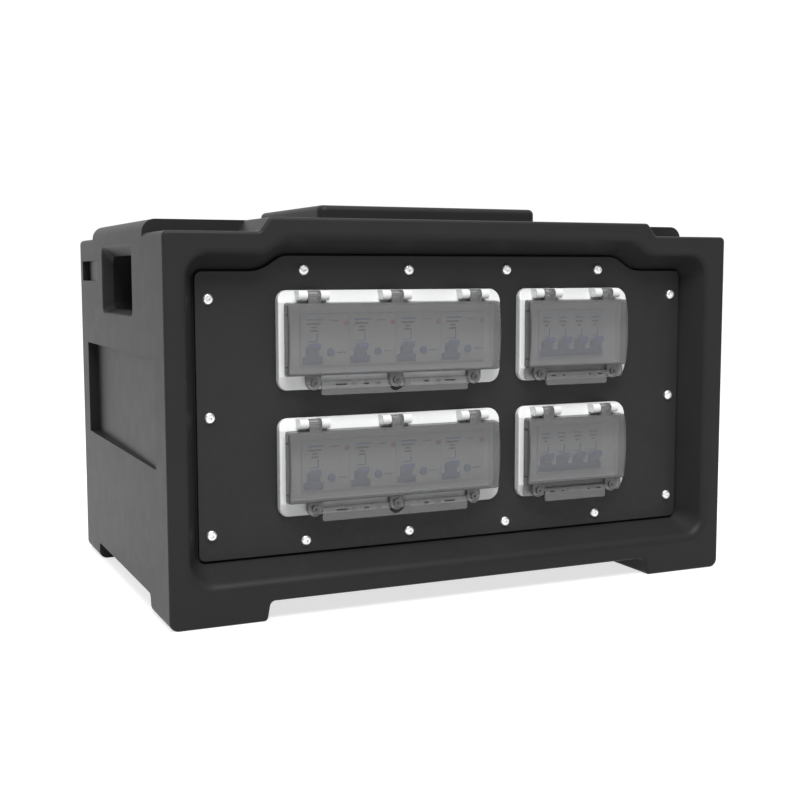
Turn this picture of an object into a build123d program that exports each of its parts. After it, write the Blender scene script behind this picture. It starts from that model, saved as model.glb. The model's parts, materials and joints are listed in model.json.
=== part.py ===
"""Portable power distribution box: a stackable moulded housing with a breaker panel at the front,
a socket panel at the rear, four hinged breaker windows and the switchgear behind them.

Millimetres. +Z is up, +X is right as seen from the front, the breaker side faces -Y.
The origin is the centre of the footprint, on the surface that the four feet stand on.
"""
import os
from math import atan, tan

from build123d import *

os.makedirs("parts", exist_ok=True)

# ------------------------------------------------------------------ housing
WIDTH = 560.0
DEPTH = 364.0
CORNER_TOP = 330.0      # the four low stacking corners
PLUS_TOP = 342.0        # the cross-shaped raised top that keys into the next box's underside
PLATFORM_TOP = 358.0
PLATFORM_SIZE = (230.0, 177.0)
PLATFORM_X = 4.5        # the platform stands a little off centre
FOOT_H = 17.0           # height of the gap from front to rear, between the feet
SIDE_GAP_H = 17.5       # height of the gap from side to side
FOOT_INNER_X = 195.0    # feet run from here to the sides
FOOT_LENGTH = 67.0      # front to back
STEP_X = 189.0          # half width of the raised front and rear arms, at their top
STEP_RUN = 9.0          # the step's slope runs this far out on its way down
SIDE_ARM_Y = 109.5      # half length of the raised side arms above the hand pockets
SIDE_ARM_R = 12.0
EDGE_R = 3.0            # outer edges of the moulding

# Recess that protects each panel, and the flange the panel is screwed to
RECESS_FRONT = 28.8     # front face to the breaker panel's outer face
RECESS_REAR = 56.8      # rear face to the socket panel's outer face
MOUTH_DEPTH = 33.8      # depth over which a recess flares out to its mouth
MOUTH_GROW = 16.0       # how much larger the mouth is than the panel, each side
MOUTH_R = 10.0
PANEL_GAP = 1.0         # panel edge to recess wall
FLANGE_T = 12.0
HOLLOW = ((516.0, (42.0, 242.0)), (444.0, (42.0, 318.0)))   # widths and heights, below and past the pockets
HOLLOW_R = 10.0

# Panels
PANEL_T = 3.0
GASKET_T = 2.0
PANEL_HALF_W = 246.5
PANEL_BOTTOM = 50.5
PANEL_CORNER_TOP = 297.0
PANEL_TOP = 310.3
PANEL_STEP = (170.0, 190.0)   # the panel's top ramps down between these half widths
PANEL_CORNER_R = 6.0
STEP_CONVEX_R = 20.0
STEP_CONCAVE_R = 34.0
OPEN_HALF_W = 226.0     # the opening inside the flange that a panel is screwed to
OPEN_Z = (72.0, 287.0)
OPEN_R = 8.0

# Panel screws: two rows of four and two columns of three
SCREW_ROW_X = (-150.3, -50.1, 50.1, 150.3)
SCREW_ROW_Z = (60.8, 298.4)
SCREW_COLUMN_X = 235.7
SCREW_COLUMN_Z = (72.4, 173.6, 274.0)
SCREW_POINTS = [(x, z) for z in SCREW_ROW_Z for x in SCREW_ROW_X]
SCREW_POINTS += [(side * SCREW_COLUMN_X, z) for side in (-1, 1) for z in SCREW_COLUMN_Z]
SCREW_R = 2.0
SCREW_HEAD_R = 4.7
SCREW_HEAD_H = 2.8
INSERT_R = 3.1
INSERT_L = 10.0

# Side features: a hand pocket, a shallow ramped slot and a long wedge-shaped recess
POCKET_HALF_L = 66.0
POCKET_Z = (257.0, 321.0)
POCKET_DEPTH = 45.0
POCKET_FLARE = 10.0
POCKET_INNER = (60.0, 261.0, 312.0)    # half length, bottom and top past the flare
POCKET_R = 8.0
POCKET_EDGE_R = 2.5
SLOT_Y = (89.0, 168.0)
SLOT_Z = (288.0, 308.0)
SLOT_DEPTH = 7.0
WEDGE_Y = (-144.0, 149.0)
WEDGE_Z = (130.8, 224.0)
WEDGE_DEPTH = (2.5, 9.5)

# ------------------------------------------------------------------ breaker windows
WIDE_X = -68.0
NARROW_X = 120.2
UPPER_Z = 237.7
LOWER_Z = 126.9
WIDE_W = 216.0
NARROW_W = 118.5
FRAME_H = 86.5
FRAME_R = 9.0
FRAME_D = 7.5           # how far a window frame stands in front of the panel
BAND_DROP = 4.5         # how far its bands above and below the lid slope back to its edges
RIM_R = 1.5
SCREW_POST_R = 4.2      # posts under the lid's ears
BASE_T = 2.0            # its base plate, through which the breakers' noses come
LID_INSET = 5.0
LID_TOP = 32.8          # lid edges above and below the window's centre
LID_BOTTOM = -31.0
LID_EDGE_D = 20.0 - FRAME_D - 3.2
LID_BULGE = 3.2
LID_T = 2.0
CLEAR = 0.3             # gap between pieces that move past each other
HINGE_R = 4.3
HINGE_Z = 38.8          # hinge axis above the window's centre
ARM_W = 11.5
BOSS_W = 8.0
HINGE_PIN_R = 1.25
EAR_R = 6.5
EAR_Z = -36.4
EAR_D = 5.5
EAR_NOTCH_R = 7.8       # notch in a latch flap round an ear between its ends
CATCH_Z = -37.2         # axis of the latch flap
CATCH_R = 2.0
CATCH_BOTTOM = -47.6
STUB_R = 0.8
LID_SCREW_R = 1.2

# ------------------------------------------------------------------ switchgear
NOSE_PROUD = 1.5        # breaker noses in front of the frame's base plate
NOSE_HALF_H = 22.5
BODY_HALF_H = 41.5
NOSE_D = 16.0           # nose front to shoulders
BREAKER_D = 60.0        # nose front to the rail's front lips
RCBO_W = 45.0
RCBO_COUNT = 4
RCBO_LEFT = -154.5      # left edge of the first residual-current breaker
MCB_W = 72.0
POLE_W = 18.0
TOGGLE_X = 10.8         # from a breaker's left edge
BUTTON_X = 27.8
TOGGLE_Z = -15.5        # toggle axis from the row's centre
BUTTON_Z = -11.3
AXIS_D = 8.0            # toggle axis behind the nose front
DRUM_R = 7.5
DRUM_W = 18.6
LEVER_L = 19.0
LEVER_T = 7.0
LEVER_W = 11.0
LEVER_UP = 35.0         # degrees above horizontal in the on position
BUTTON_R = 3.5
RAIL_HALF_H = 17.5
RAIL_D = 7.5
RAIL_X = (-186.0, 186.0)

PANEL_FRONT = -DEPTH / 2 + RECESS_FRONT
PANEL_BACK = PANEL_FRONT + PANEL_T
FLANGE_FRONT = PANEL_BACK + GASKET_T
REAR_PANEL_FACE = DEPTH / 2 - RECESS_REAR
REAR_PANEL_BACK = REAR_PANEL_FACE - PANEL_T
FLANGE_REAR = REAR_PANEL_BACK - GASKET_T
FRAME_FRONT = PANEL_FRONT - FRAME_D
BASE_FRONT = PANEL_FRONT - BASE_T
LID_BACK = FRAME_FRONT - CLEAR
HINGE_Y = LID_BACK - HINGE_R
CATCH_Y = LID_BACK - 4.0
NOSE_Y = BASE_FRONT - NOSE_PROUD
RAIL_Y = NOSE_Y + BREAKER_D
TOGGLE_Y = NOSE_Y + AXIS_D


def front(y):
    """A sketch plane facing the front at the given y: local x is X, local y is Z."""
    return Plane.XZ.offset(-y)


def save(part, name):
    """Label a finished piece and write it as its own STEP file."""
    part.label = name
    export_step(part, f"parts/{name}.step")


def rounded_face(plane, points, radii):
    """A closed face through the points, with its own radius at each corner."""
    with BuildSketch(plane) as face:
        with BuildLine():
            FilletPolyline(*points, radius=radii, close=True)
        make_face()
    return face.sketch


def stepped_outline(plane, grow):
    """The panel's outline, with its stepped top, grown outwards by the given amount."""
    inner, outer = PANEL_STEP
    turn = atan((PANEL_TOP - PANEL_CORNER_TOP) / (outer - inner))
    shift = grow * tan(turn / 2)
    side = PANEL_HALF_W + grow
    low = PANEL_CORNER_TOP + grow
    high = PANEL_TOP + grow
    right = [(side, PANEL_BOTTOM - grow), (side, low), (outer + shift, low), (inner + shift, high)]
    left = [(-x, z) for x, z in reversed(right)]
    corner = PANEL_CORNER_R + grow
    right_radii = [corner, corner, STEP_CONCAVE_R - grow, STEP_CONVEX_R + grow]
    return rounded_face(plane, right + left, right_radii + right_radii[::-1])


# ================================================================== housing
profile = [
    (WIDTH / 2, 0), (WIDTH / 2, CORNER_TOP), (STEP_X + STEP_RUN, CORNER_TOP), (STEP_X, PLUS_TOP),
    (-STEP_X, PLUS_TOP), (-STEP_X - STEP_RUN, CORNER_TOP), (-WIDTH / 2, CORNER_TOP),
    (-WIDTH / 2, 0), (-FOOT_INNER_X, 0), (-FOOT_INNER_X + 3, FOOT_H), (FOOT_INNER_X - 3, FOOT_H),
    (FOOT_INNER_X, 0),
]
profile_radii = [8, 4.5, 4, 4.5, 4.5, 4, 4.5, 8, 4, 5, 5, 4]

with BuildPart() as housing:
    # The body and its raised front-to-back arm, with the front-to-back gap between the feet
    extrude(rounded_face(Plane.XZ, profile, profile_radii), amount=DEPTH / 2, both=True)
    ends = housing.faces().filter_by(Axis.Y)
    fillet(ends.edges(), radius=EDGE_R)

    # The gap between front and rear feet runs from side to side
    half_gap = DEPTH / 2 - FOOT_LENGTH
    side_gap = [
        (-half_gap - 3, -10), (half_gap + 3, -10),
        (half_gap - 2, SIDE_GAP_H), (-half_gap + 2, SIDE_GAP_H),
    ]
    side_plane = Plane.YZ.offset(-WIDTH / 2 - 1)
    extrude(rounded_face(side_plane, side_gap, [1, 1, 5, 5]), amount=WIDTH + 2, mode=Mode.SUBTRACT)

    # Raised side arms above the hand pockets
    with BuildSketch(front(0)):
        with Locations((0, PLUS_TOP - 20)):
            RectangleRounded(WIDTH, 40, SIDE_ARM_R)
        with Locations((0, PLUS_TOP - 40)):
            Rectangle(WIDTH + 10, 40, mode=Mode.SUBTRACT)
    extrude(amount=SIDE_ARM_Y, both=True)

    # Central platform
    with BuildSketch(Plane.XY.offset(PLUS_TOP - 1)):
        with Locations((PLATFORM_X, 0)):
            RectangleRounded(*PLATFORM_SIZE, 7)
    extrude(amount=PLATFORM_TOP - PLUS_TOP + 1)
    fillet(housing.faces().sort_by(Axis.Z)[-1].edges(), radius=5)

    # Pocket in the underside for the platform of a box below
    with BuildSketch(Plane.XY):
        with Locations((PLATFORM_X, 0)):
            RectangleRounded(PLATFORM_SIZE[0] + 14, PLATFORM_SIZE[1] + 14, 12)
    extrude(amount=FOOT_H + PLATFORM_TOP - CORNER_TOP - 11, mode=Mode.SUBTRACT)

    # Flared recesses in front of both panels
    for sign, floor_y in ((-1, FLANGE_FRONT), (1, FLANGE_REAR)):
        mouth = sign * DEPTH / 2
        bend = mouth - sign * MOUTH_DEPTH
        if abs(bend - floor_y) > 0.1:
            extrude(stepped_outline(front(floor_y), PANEL_GAP), amount=floor_y - bend, mode=Mode.SUBTRACT)
        sections = [stepped_outline(front(bend), PANEL_GAP), stepped_outline(front(mouth), MOUTH_GROW)]
        loft(sections, ruled=True, mode=Mode.SUBTRACT)
        rim = housing.faces().filter_by(Axis.Y).sort_by(Axis.Y)[0 if sign < 0 else -1]
        fillet(rim.inner_wires()[0].edges(), radius=MOUTH_R)

    # Hand pockets: a flared mouth and a deep finger space, in both sides
    inner_half, inner_low, inner_high = POCKET_INNER
    for side in (-1, 1):
        outer_plane = Plane(origin=(side * WIDTH / 2, 0, 0), x_dir=(0, 1, 0), z_dir=(side, 0, 0))
        flare_plane = outer_plane.offset(-POCKET_FLARE)
        with BuildSketch(outer_plane) as mouth_sketch:
            with Locations((0, side * (POCKET_Z[0] + POCKET_Z[1]) / 2)):
                RectangleRounded(2 * POCKET_HALF_L, POCKET_Z[1] - POCKET_Z[0], POCKET_R)
        with BuildSketch(flare_plane) as throat_sketch:
            with Locations((0, side * (inner_low + inner_high) / 2)):
                RectangleRounded(2 * inner_half, inner_high - inner_low, POCKET_R)
        loft([mouth_sketch.sketch, throat_sketch.sketch], ruled=True, mode=Mode.SUBTRACT)
        outermost = housing.faces().filter_by(Axis.X).group_by(Axis.X)[0 if side < 0 else -1]
        side_face = outermost.sort_by(SortBy.AREA)[-1]
        fillet(side_face.inner_wires()[0].edges(), radius=POCKET_EDGE_R)
        extrude(throat_sketch.sketch, amount=-(POCKET_DEPTH - POCKET_FLARE), mode=Mode.SUBTRACT)

    # Ramped slot and long wedge recess, cut as plan-view wedges
    for side in (-1, 1):
        face_x = side * WIDTH / 2
        for (y0, y1), (z0, z1), (d0, d1) in (
            (SLOT_Y, SLOT_Z, (0.01, SLOT_DEPTH)),
            (WEDGE_Y, WEDGE_Z, WEDGE_DEPTH),
        ):
            with BuildSketch(Plane.XY.offset(z0)):
                with BuildLine():
                    Polyline(
                        (face_x + side, y0), (face_x - side * d0, y0),
                        (face_x - side * d1, y1), (face_x + side, y1), close=True,
                    )
                make_face()
            extrude(amount=z1 - z0, mode=Mode.SUBTRACT)

    # Hollow for the switchgear, narrower at the top where the hand pockets come in
    with BuildSketch(front(FLANGE_FRONT)):
        with Locations((0, sum(OPEN_Z) / 2)):
            RectangleRounded(2 * OPEN_HALF_W, OPEN_Z[1] - OPEN_Z[0], OPEN_R)
    extrude(amount=FLANGE_FRONT - FLANGE_REAR, mode=Mode.SUBTRACT)
    hollow_front = FLANGE_FRONT + FLANGE_T
    hollow_rear = FLANGE_REAR - FLANGE_T
    with BuildSketch(front(hollow_front)):
        for hollow_w, (low, high) in HOLLOW:
            with Locations((0, (low + high) / 2)):
                RectangleRounded(hollow_w, high - low, HOLLOW_R)
    extrude(amount=hollow_front - hollow_rear, mode=Mode.SUBTRACT)

    # Blind holes for the threaded inserts
    for face_y, into in ((FLANGE_FRONT, -1), (FLANGE_REAR, 1)):
        with BuildSketch(front(face_y)):
            with Locations(*SCREW_POINTS):
                Circle(INSERT_R)
        extrude(amount=into * INSERT_L, mode=Mode.SUBTRACT)

save(housing.part, "housing")

# ================================================================== panels, gaskets and their fasteners
ROWS = {"upper": UPPER_Z, "lower": LOWER_Z}

with BuildPart() as front_panel:
    extrude(stepped_outline(front(PANEL_BACK), 0), amount=PANEL_T)
    with BuildSketch(front(PANEL_BACK)):
        with Locations(*SCREW_POINTS):
            Circle(SCREW_R + 0.3)
        for row_z in ROWS.values():
            for x, width in ((WIDE_X, WIDE_W), (NARROW_X, NARROW_W)):
                with Locations((x, row_z)):
                    RectangleRounded(width - 24, 50, 3)
    extrude(amount=PANEL_T, mode=Mode.SUBTRACT)
save(front_panel.part, "front_panel")


with BuildPart() as gaskets:
    # Flat seals between each panel and its flange, with holes for the panel screws
    for gasket_y in (FLANGE_FRONT, FLANGE_REAR + GASKET_T):
        extrude(stepped_outline(front(gasket_y), -1.5), amount=GASKET_T)
        with BuildSketch(front(gasket_y)):
            with Locations((0, sum(OPEN_Z) / 2)):
                RectangleRounded(2 * OPEN_HALF_W, OPEN_Z[1] - OPEN_Z[0], OPEN_R)
            with Locations(*SCREW_POINTS):
                Circle(SCREW_R + 0.3)
        extrude(amount=GASKET_T, mode=Mode.SUBTRACT)
save(gaskets.part, "panel_gaskets")


def rear(y):
    """A sketch plane facing the rear at the given y: local x is -X, local y is Z."""
    return Plane(origin=(0, y, 0), x_dir=(-1, 0, 0), z_dir=(0, 1, 0))


with BuildPart() as screws:
    # Button-head screws with hexagon sockets, fourteen in each panel
    for face in (front(PANEL_FRONT), rear(REAR_PANEL_FACE)):
        outward = Axis(face.origin, face.z_dir)
        with BuildSketch(face):
            with Locations(*SCREW_POINTS):
                Circle(SCREW_HEAD_R)
        extrude(amount=SCREW_HEAD_H)
        fillet(screws.faces().group_by(outward)[-1].edges(), radius=2.2)
        with BuildSketch(face.offset(SCREW_HEAD_H)):
            with Locations(*SCREW_POINTS):
                RegularPolygon(1.9, 6)
        extrude(amount=-1.6, mode=Mode.SUBTRACT)
        with BuildSketch(face):
            with Locations(*SCREW_POINTS):
                Circle(SCREW_R - 0.05)
        extrude(amount=-(PANEL_T + GASKET_T + INSERT_L - 1))
save(screws.part, "panel_screws")

with BuildPart() as inserts:
    # Brass threaded inserts in the flanges, fourteen at each end
    for face_y, into in ((FLANGE_FRONT, -1), (FLANGE_REAR, 1)):
        with BuildSketch(front(face_y)):
            with Locations(*SCREW_POINTS):
                Circle(INSERT_R)
                Circle(SCREW_R, mode=Mode.SUBTRACT)
        extrude(amount=into * INSERT_L)
save(inserts.part, "panel_inserts")


# ================================================================== breaker windows
def bar_along_x(x0, x1, y, z, radius, mode=Mode.ADD):
    """A round bar along X, added to the part being built, or cut from it as a bore."""
    with BuildSketch(Plane.YZ.offset(x0)) as end:
        with Locations((y, z)):
            Circle(radius)
    extrude(end.sketch, amount=x1 - x0, mode=mode)


def bore_along_x(x0, x1, y, z, radius):
    """A round bore along X, cut from the part being built."""
    bar_along_x(x0, x1, y, z, radius, mode=Mode.SUBTRACT)


def window_frame(cx, cz, width, nose_x, nose_w, hinge_xs, ear_xs):
    """White base frame: a tray with a slot for the breakers' noses and bosses for the hinge pins."""
    with BuildPart() as frame:
        with BuildSketch(front(PANEL_FRONT)):
            with Locations((cx, cz)):
                RectangleRounded(width, FRAME_H, FRAME_R)
        extrude(amount=FRAME_D)
        with BuildSketch(Plane.YZ.offset(cx - width / 2 - 1)):
            for crease, outer in (
                (cz + LID_TOP, cz + FRAME_H / 2), (cz + LID_BOTTOM, cz - FRAME_H / 2),
            ):
                with BuildLine():
                    Polyline(
                        (FRAME_FRONT, crease), (FRAME_FRONT + BAND_DROP, outer),
                        (FRAME_FRONT - 1, outer), (FRAME_FRONT - 1, crease), close=True,
                    )
                make_face()
        extrude(amount=width + 2, mode=Mode.SUBTRACT)
        on_front = frame.edges().filter_by_position(Axis.Y, FRAME_FRONT - 0.1, FRAME_FRONT + 0.1)
        creases = on_front.filter_by(Axis.X)
        raised = frame.edges().filter_by(Axis.Y, reverse=True).filter_by(
            lambda e: e.center().Y < PANEL_FRONT - RIM_R
        )
        fillet([edge for edge in raised if edge not in creases], radius=RIM_R)
        with BuildSketch(front(PANEL_FRONT)):
            with Locations(*[(cx + x, cz + EAR_Z) for x in ear_xs]):
                Circle(SCREW_POST_R)
        extrude(amount=FRAME_D)
        with BuildSketch(front(BASE_FRONT)):
            with Locations((cx, cz + 1)):
                RectangleRounded(width - 18, 59, 3)
        extrude(amount=FRAME_D, mode=Mode.SUBTRACT)
        with BuildSketch(front(PANEL_FRONT)):
            with Locations((nose_x, cz)):
                Rectangle(nose_w + 1, 2 * NOSE_HALF_H + 1)
        extrude(amount=FRAME_D, mode=Mode.SUBTRACT)
        with BuildSketch(front(FRAME_FRONT)):
            with Locations(*[(cx + x, cz + EAR_Z) for x in ear_xs]):
                Circle(LID_SCREW_R + 0.4)
        extrude(amount=-5, mode=Mode.SUBTRACT)
        axis_z = cz + HINGE_Z
        for x in hinge_xs:
            for side in (-1, 1):
                near = cx + x + side * (ARM_W / 2 + CLEAR)
                x0, x1 = sorted((near, near + side * BOSS_W))
                bar_along_x(x0, x1, HINGE_Y, axis_z, HINGE_R)
                with BuildSketch(Plane.YZ.offset(x0)):
                    with Locations(((FRAME_FRONT + BAND_DROP + HINGE_Y) / 2, axis_z)):
                        Rectangle(FRAME_FRONT + BAND_DROP - HINGE_Y, 2 * HINGE_R - 0.6)
                extrude(amount=BOSS_W)
            span = ARM_W / 2 + CLEAR + BOSS_W
            bore_along_x(cx + x - span, cx + x + span, HINGE_Y, axis_z, HINGE_PIN_R)
    return frame.part


def window_lid(cx, cz, width, hinge_xs, ear_xs, ledge):
    """Smoked lid: a bulging shell with hinge arms above and screw ears below."""
    half = width / 2 - LID_INSET
    top, bottom = cz + LID_TOP, cz + LID_BOTTOM
    edge_y = LID_BACK - LID_EDGE_D
    middle = (top + bottom) / 2
    with BuildPart() as lid:
        for inset, mode in ((0, Mode.ADD), (LID_T, Mode.SUBTRACT)):
            back = LID_BACK + inset
            face_y = edge_y + inset
            with BuildSketch(Plane.YZ.offset(cx - half + inset)):
                with BuildLine():
                    Line((back, bottom + inset), (back, top - inset))
                    Line((back, top - inset), (face_y, top - inset - 1))
                    ThreePointArc(
                        (face_y, top - inset - 1), (face_y - LID_BULGE, middle),
                        (face_y, bottom + inset + 1),
                    )
                    Line((face_y, bottom + inset + 1), (back, bottom + inset))
                make_face()
            extrude(amount=2 * (half - inset), mode=mode)
            if mode == Mode.ADD:
                outer_edges = lid.edges().filter_by(lambda e: e.center().Y < LID_BACK - 1)
                fillet(outer_edges, radius=2.6)
        if ledge:
            # The narrow lids carry on down over the frame's lower ledge as a thin plate
            ledge_low = cz - FRAME_H / 2 + 1
            with BuildSketch(front(LID_BACK)):
                with Locations((cx, (ledge_low + bottom + 1) / 2)):
                    RectangleRounded(2 * half, bottom + 1 - ledge_low, 3)
            extrude(amount=1.5)
        for x in hinge_xs:
            bar_along_x(cx + x - ARM_W / 2, cx + x + ARM_W / 2, HINGE_Y, cz + HINGE_Z, HINGE_R)
            with BuildSketch(Plane.YZ.offset(cx + x - ARM_W / 2)):
                with BuildLine():
                    Polyline(
                        (LID_BACK, top - 1.5), (LID_BACK, top + 1), (HINGE_Y + HINGE_R - 0.3, cz + HINGE_Z),
                        (HINGE_Y - HINGE_R, cz + HINGE_Z), (edge_y + 0.5, top - 1.5), close=True,
                    )
                make_face()
            extrude(amount=ARM_W)
            bore_along_x(cx + x - ARM_W / 2, cx + x + ARM_W / 2, HINGE_Y, cz + HINGE_Z, HINGE_PIN_R + 0.06)
        for x in ear_xs:
            with BuildSketch(front(LID_BACK)):
                with Locations((cx + x, cz + EAR_Z)):
                    Circle(EAR_R)
                with Locations((cx + x, (cz + EAR_Z + bottom + 1) / 2)):
                    Rectangle(2 * EAR_R, bottom + 1 - cz - EAR_Z)
            extrude(amount=EAR_D)
            with BuildSketch(front(LID_BACK)):
                with Locations((cx + x, cz + EAR_Z)):
                    Circle(LID_SCREW_R)
            extrude(amount=EAR_D, mode=Mode.SUBTRACT)
            bore_along_x(cx + x - EAR_R, cx + x - EAR_R + 2.2, CATCH_Y, cz + CATCH_Z, STUB_R + 0.08)
            bore_along_x(cx + x + EAR_R - 2.2, cx + x + EAR_R, CATCH_Y, cz + CATCH_Z, STUB_R + 0.08)
    return lid.part


def window_catch(cx, cz, ear_xs):
    """Latch flap along the bottom of a lid, turning on stubs between the lid's ears."""
    first, last = min(ear_xs), max(ear_xs)
    reach = EAR_R + CLEAR
    with BuildPart() as catch:
        with BuildSketch(front(CATCH_Y + 0.6)):
            with Locations((cx + (first + last) / 2, cz + (CATCH_Z + CATCH_BOTTOM) / 2)):
                Rectangle(last - first - 2 * reach, CATCH_Z - CATCH_BOTTOM)
        extrude(amount=2.6)
        fillet(catch.edges().filter_by(Axis.Y).group_by(Axis.Z)[0], radius=2)
        for x0, x1 in zip(sorted(ear_xs)[:-1], sorted(ear_xs)[1:]):
            bar_along_x(cx + x0 + reach, cx + x1 - reach, CATCH_Y, cz + CATCH_Z, CATCH_R)
        for x in sorted(ear_xs)[1:-1]:
            with BuildSketch(front(CATCH_Y + 3)):
                with Locations((cx + x, cz + EAR_Z)):
                    SlotCenterToCenter(4, 2 * EAR_NOTCH_R, rotation=90)
            extrude(amount=8, mode=Mode.SUBTRACT)
        for x0, x1 in zip(sorted(ear_xs)[:-1], sorted(ear_xs)[1:]):
            bar_along_x(cx + x0 + EAR_R - 2, cx + x1 - EAR_R + 2, CATCH_Y, cz + CATCH_Z, STUB_R)
    return catch.part


def lid_screws(cx, cz, ear_xs):
    """Captive screws that hold a lid's ears down on its frame."""
    points = [(cx + x, cz + EAR_Z) for x in ear_xs]
    with BuildPart() as screws:
        with BuildSketch(front(LID_BACK - EAR_D)):
            with Locations(*points):
                Circle(3.2)
        extrude(amount=1.6)
        with BuildSketch(front(LID_BACK - EAR_D - 1.6)):
            with Locations(*points):
                RegularPolygon(1.3, 6)
        extrude(amount=-1, mode=Mode.SUBTRACT)
        with BuildSketch(front(LID_BACK - EAR_D)):
            with Locations(*points):
                Circle(LID_SCREW_R)
        extrude(amount=-(EAR_D + CLEAR + 3.5))
    return screws.part


WINDOWS = {}
for row, row_z in ROWS.items():
    WINDOWS[f"{row}_wide"] = (WIDE_X, row_z, WIDE_W, RCBO_W * RCBO_COUNT, (-78, 0, 78), (-78, 0, 78))
    WINDOWS[f"{row}_narrow"] = (NARROW_X, row_z, NARROW_W, MCB_W, (-32, 32), (-40.5, 40.5))

for name, (cx, cz, width, nose_w, hinge_xs, ear_xs) in WINDOWS.items():
    narrow = name.endswith("narrow")
    nose_x = cx if narrow else RCBO_LEFT + nose_w / 2
    save(window_frame(cx, cz, width, nose_x, nose_w, hinge_xs, ear_xs), f"window_frame_{name}")
    save(window_lid(cx, cz, width, hinge_xs, ear_xs, narrow), f"window_lid_{name}")
    save(window_catch(cx, cz, ear_xs), f"window_latch_{name}")
    save(lid_screws(cx, cz, ear_xs), f"lid_screws_{name}")

with BuildPart() as hinge_pins:
    for cx, cz, _, _, hinge_xs, _ in WINDOWS.values():
        for x in hinge_xs:
            span = ARM_W / 2 + CLEAR + BOSS_W
            bar_along_x(cx + x - span, cx + x + span, HINGE_Y, cz + HINGE_Z, HINGE_PIN_R)
save(hinge_pins.part, "window_hinge_pins")


# ================================================================== switchgear
def breaker_body(left, cz, width, pockets, buttons):
    """One modular breaker: nose, shoulders, rail claws, toggle pockets and button holes."""
    shoulder_y = NOSE_Y + NOSE_D
    section = [
        (NOSE_Y, -NOSE_HALF_H), (NOSE_Y, NOSE_HALF_H), (shoulder_y, NOSE_HALF_H),
        (shoulder_y, BODY_HALF_H), (RAIL_Y, BODY_HALF_H), (RAIL_Y, RAIL_HALF_H + 5),
        (RAIL_Y + 3.5, RAIL_HALF_H + 5), (RAIL_Y + 3.5, RAIL_HALF_H - 2), (RAIL_Y + 1.2, RAIL_HALF_H - 2),
        (RAIL_Y + 1.2, RAIL_HALF_H + 0.2), (RAIL_Y, RAIL_HALF_H + 0.2),
        (RAIL_Y, -RAIL_HALF_H - 0.2), (RAIL_Y + 1.2, -RAIL_HALF_H - 0.2), (RAIL_Y + 1.2, -RAIL_HALF_H + 2),
        (RAIL_Y + 3.5, -RAIL_HALF_H + 2), (RAIL_Y + 3.5, -RAIL_HALF_H - 5), (RAIL_Y, -RAIL_HALF_H - 5),
        (RAIL_Y, -BODY_HALF_H), (shoulder_y, -BODY_HALF_H), (shoulder_y, -NOSE_HALF_H),
    ]
    axis_z = cz + TOGGLE_Z
    with BuildPart() as body:
        with BuildSketch(Plane.YZ.offset(left + 0.2)):
            with BuildLine():
                Polyline(*[(y, cz + z) for y, z in section], close=True)
            make_face()
        extrude(amount=width - 0.4)
        for x, drum_w, levers in pockets:
            bore_along_x(x - drum_w / 2 - CLEAR, x + drum_w / 2 + CLEAR, TOGGLE_Y, axis_z, DRUM_R + CLEAR)
            with BuildSketch(front(NOSE_Y)):
                with Locations((x, axis_z - 2.65)):
                    Rectangle(drum_w + 2 * CLEAR, 6.9)
                with Locations(*[(lever_x, axis_z + 2.2) for lever_x in levers]):
                    Rectangle(LEVER_W + 2, 16.6)
            extrude(amount=-AXIS_D, mode=Mode.SUBTRACT)
        if buttons:
            with BuildSketch(front(NOSE_Y)):
                with Locations(*[(x, cz + BUTTON_Z) for x in buttons]):
                    Circle(BUTTON_R + CLEAR)
            extrude(amount=-8, mode=Mode.SUBTRACT)
    return body.part


def toggle(x, cz, drum_w, levers):
    """A breaker's toggle in the on position: a drum with one lever for each pole."""
    axis_z = cz + TOGGLE_Z
    pivot = Plane(origin=(x, TOGGLE_Y, axis_z), x_dir=(1, 0, 0), z_dir=(0, -1, 0))
    tilted = pivot.rotated((-LEVER_UP, 0, 0))
    with BuildPart() as piece:
        bar_along_x(x - drum_w / 2, x + drum_w / 2, TOGGLE_Y, axis_z, DRUM_R)
        with BuildSketch(tilted.offset(2)) as root:
            with Locations(*[(lever_x - x, 0) for lever_x in levers]):
                RectangleRounded(LEVER_W, LEVER_T, 1)
        with BuildSketch(tilted.offset(LEVER_L)) as tip:
            with Locations(*[(lever_x - x, 0) for lever_x in levers]):
                RectangleRounded(LEVER_W - 1.2, LEVER_T - 2.5, 1)
        lever_ends = zip(root.sketch.faces().sort_by(Axis.X), tip.sketch.faces().sort_by(Axis.X))
        for root_face, tip_face in lever_ends:
            loft([root_face, tip_face], ruled=True)
    return piece.part


rcbo_lefts = [RCBO_LEFT + RCBO_W * i for i in range(RCBO_COUNT)]
mcb_left = NARROW_X - MCB_W / 2
pole_xs = [mcb_left + POLE_W * (i + 0.5) for i in range(4)]

for row, row_z in ROWS.items():
    bodies = [
        breaker_body(left, row_z, RCBO_W, [(left + TOGGLE_X, DRUM_W, [left + TOGGLE_X])], [left + BUTTON_X])
        for left in rcbo_lefts
    ]
    save(Compound(children=bodies), f"rcbo_bodies_{row}")
    save(breaker_body(mcb_left, row_z, MCB_W, [(NARROW_X, 70, pole_xs)], []), f"mcb_body_{row}")
    save(toggle(NARROW_X, row_z, 70, pole_xs), f"mcb_handle_{row}")
    for number, left in enumerate(rcbo_lefts, start=1):
        toggle_x = left + TOGGLE_X
        save(toggle(toggle_x, row_z, DRUM_W, [toggle_x]), f"rcbo_toggle_{row}_{number}")
        with BuildPart() as button:
            with BuildSketch(front(NOSE_Y + 5.5)):
                with Locations((left + BUTTON_X, row_z + BUTTON_Z)):
                    Circle(BUTTON_R)
            extrude(amount=7)
            fillet(button.faces().sort_by(Axis.Y)[0].edges(), radius=0.6)
        save(button.part, f"test_button_{row}_{number}")

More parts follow.
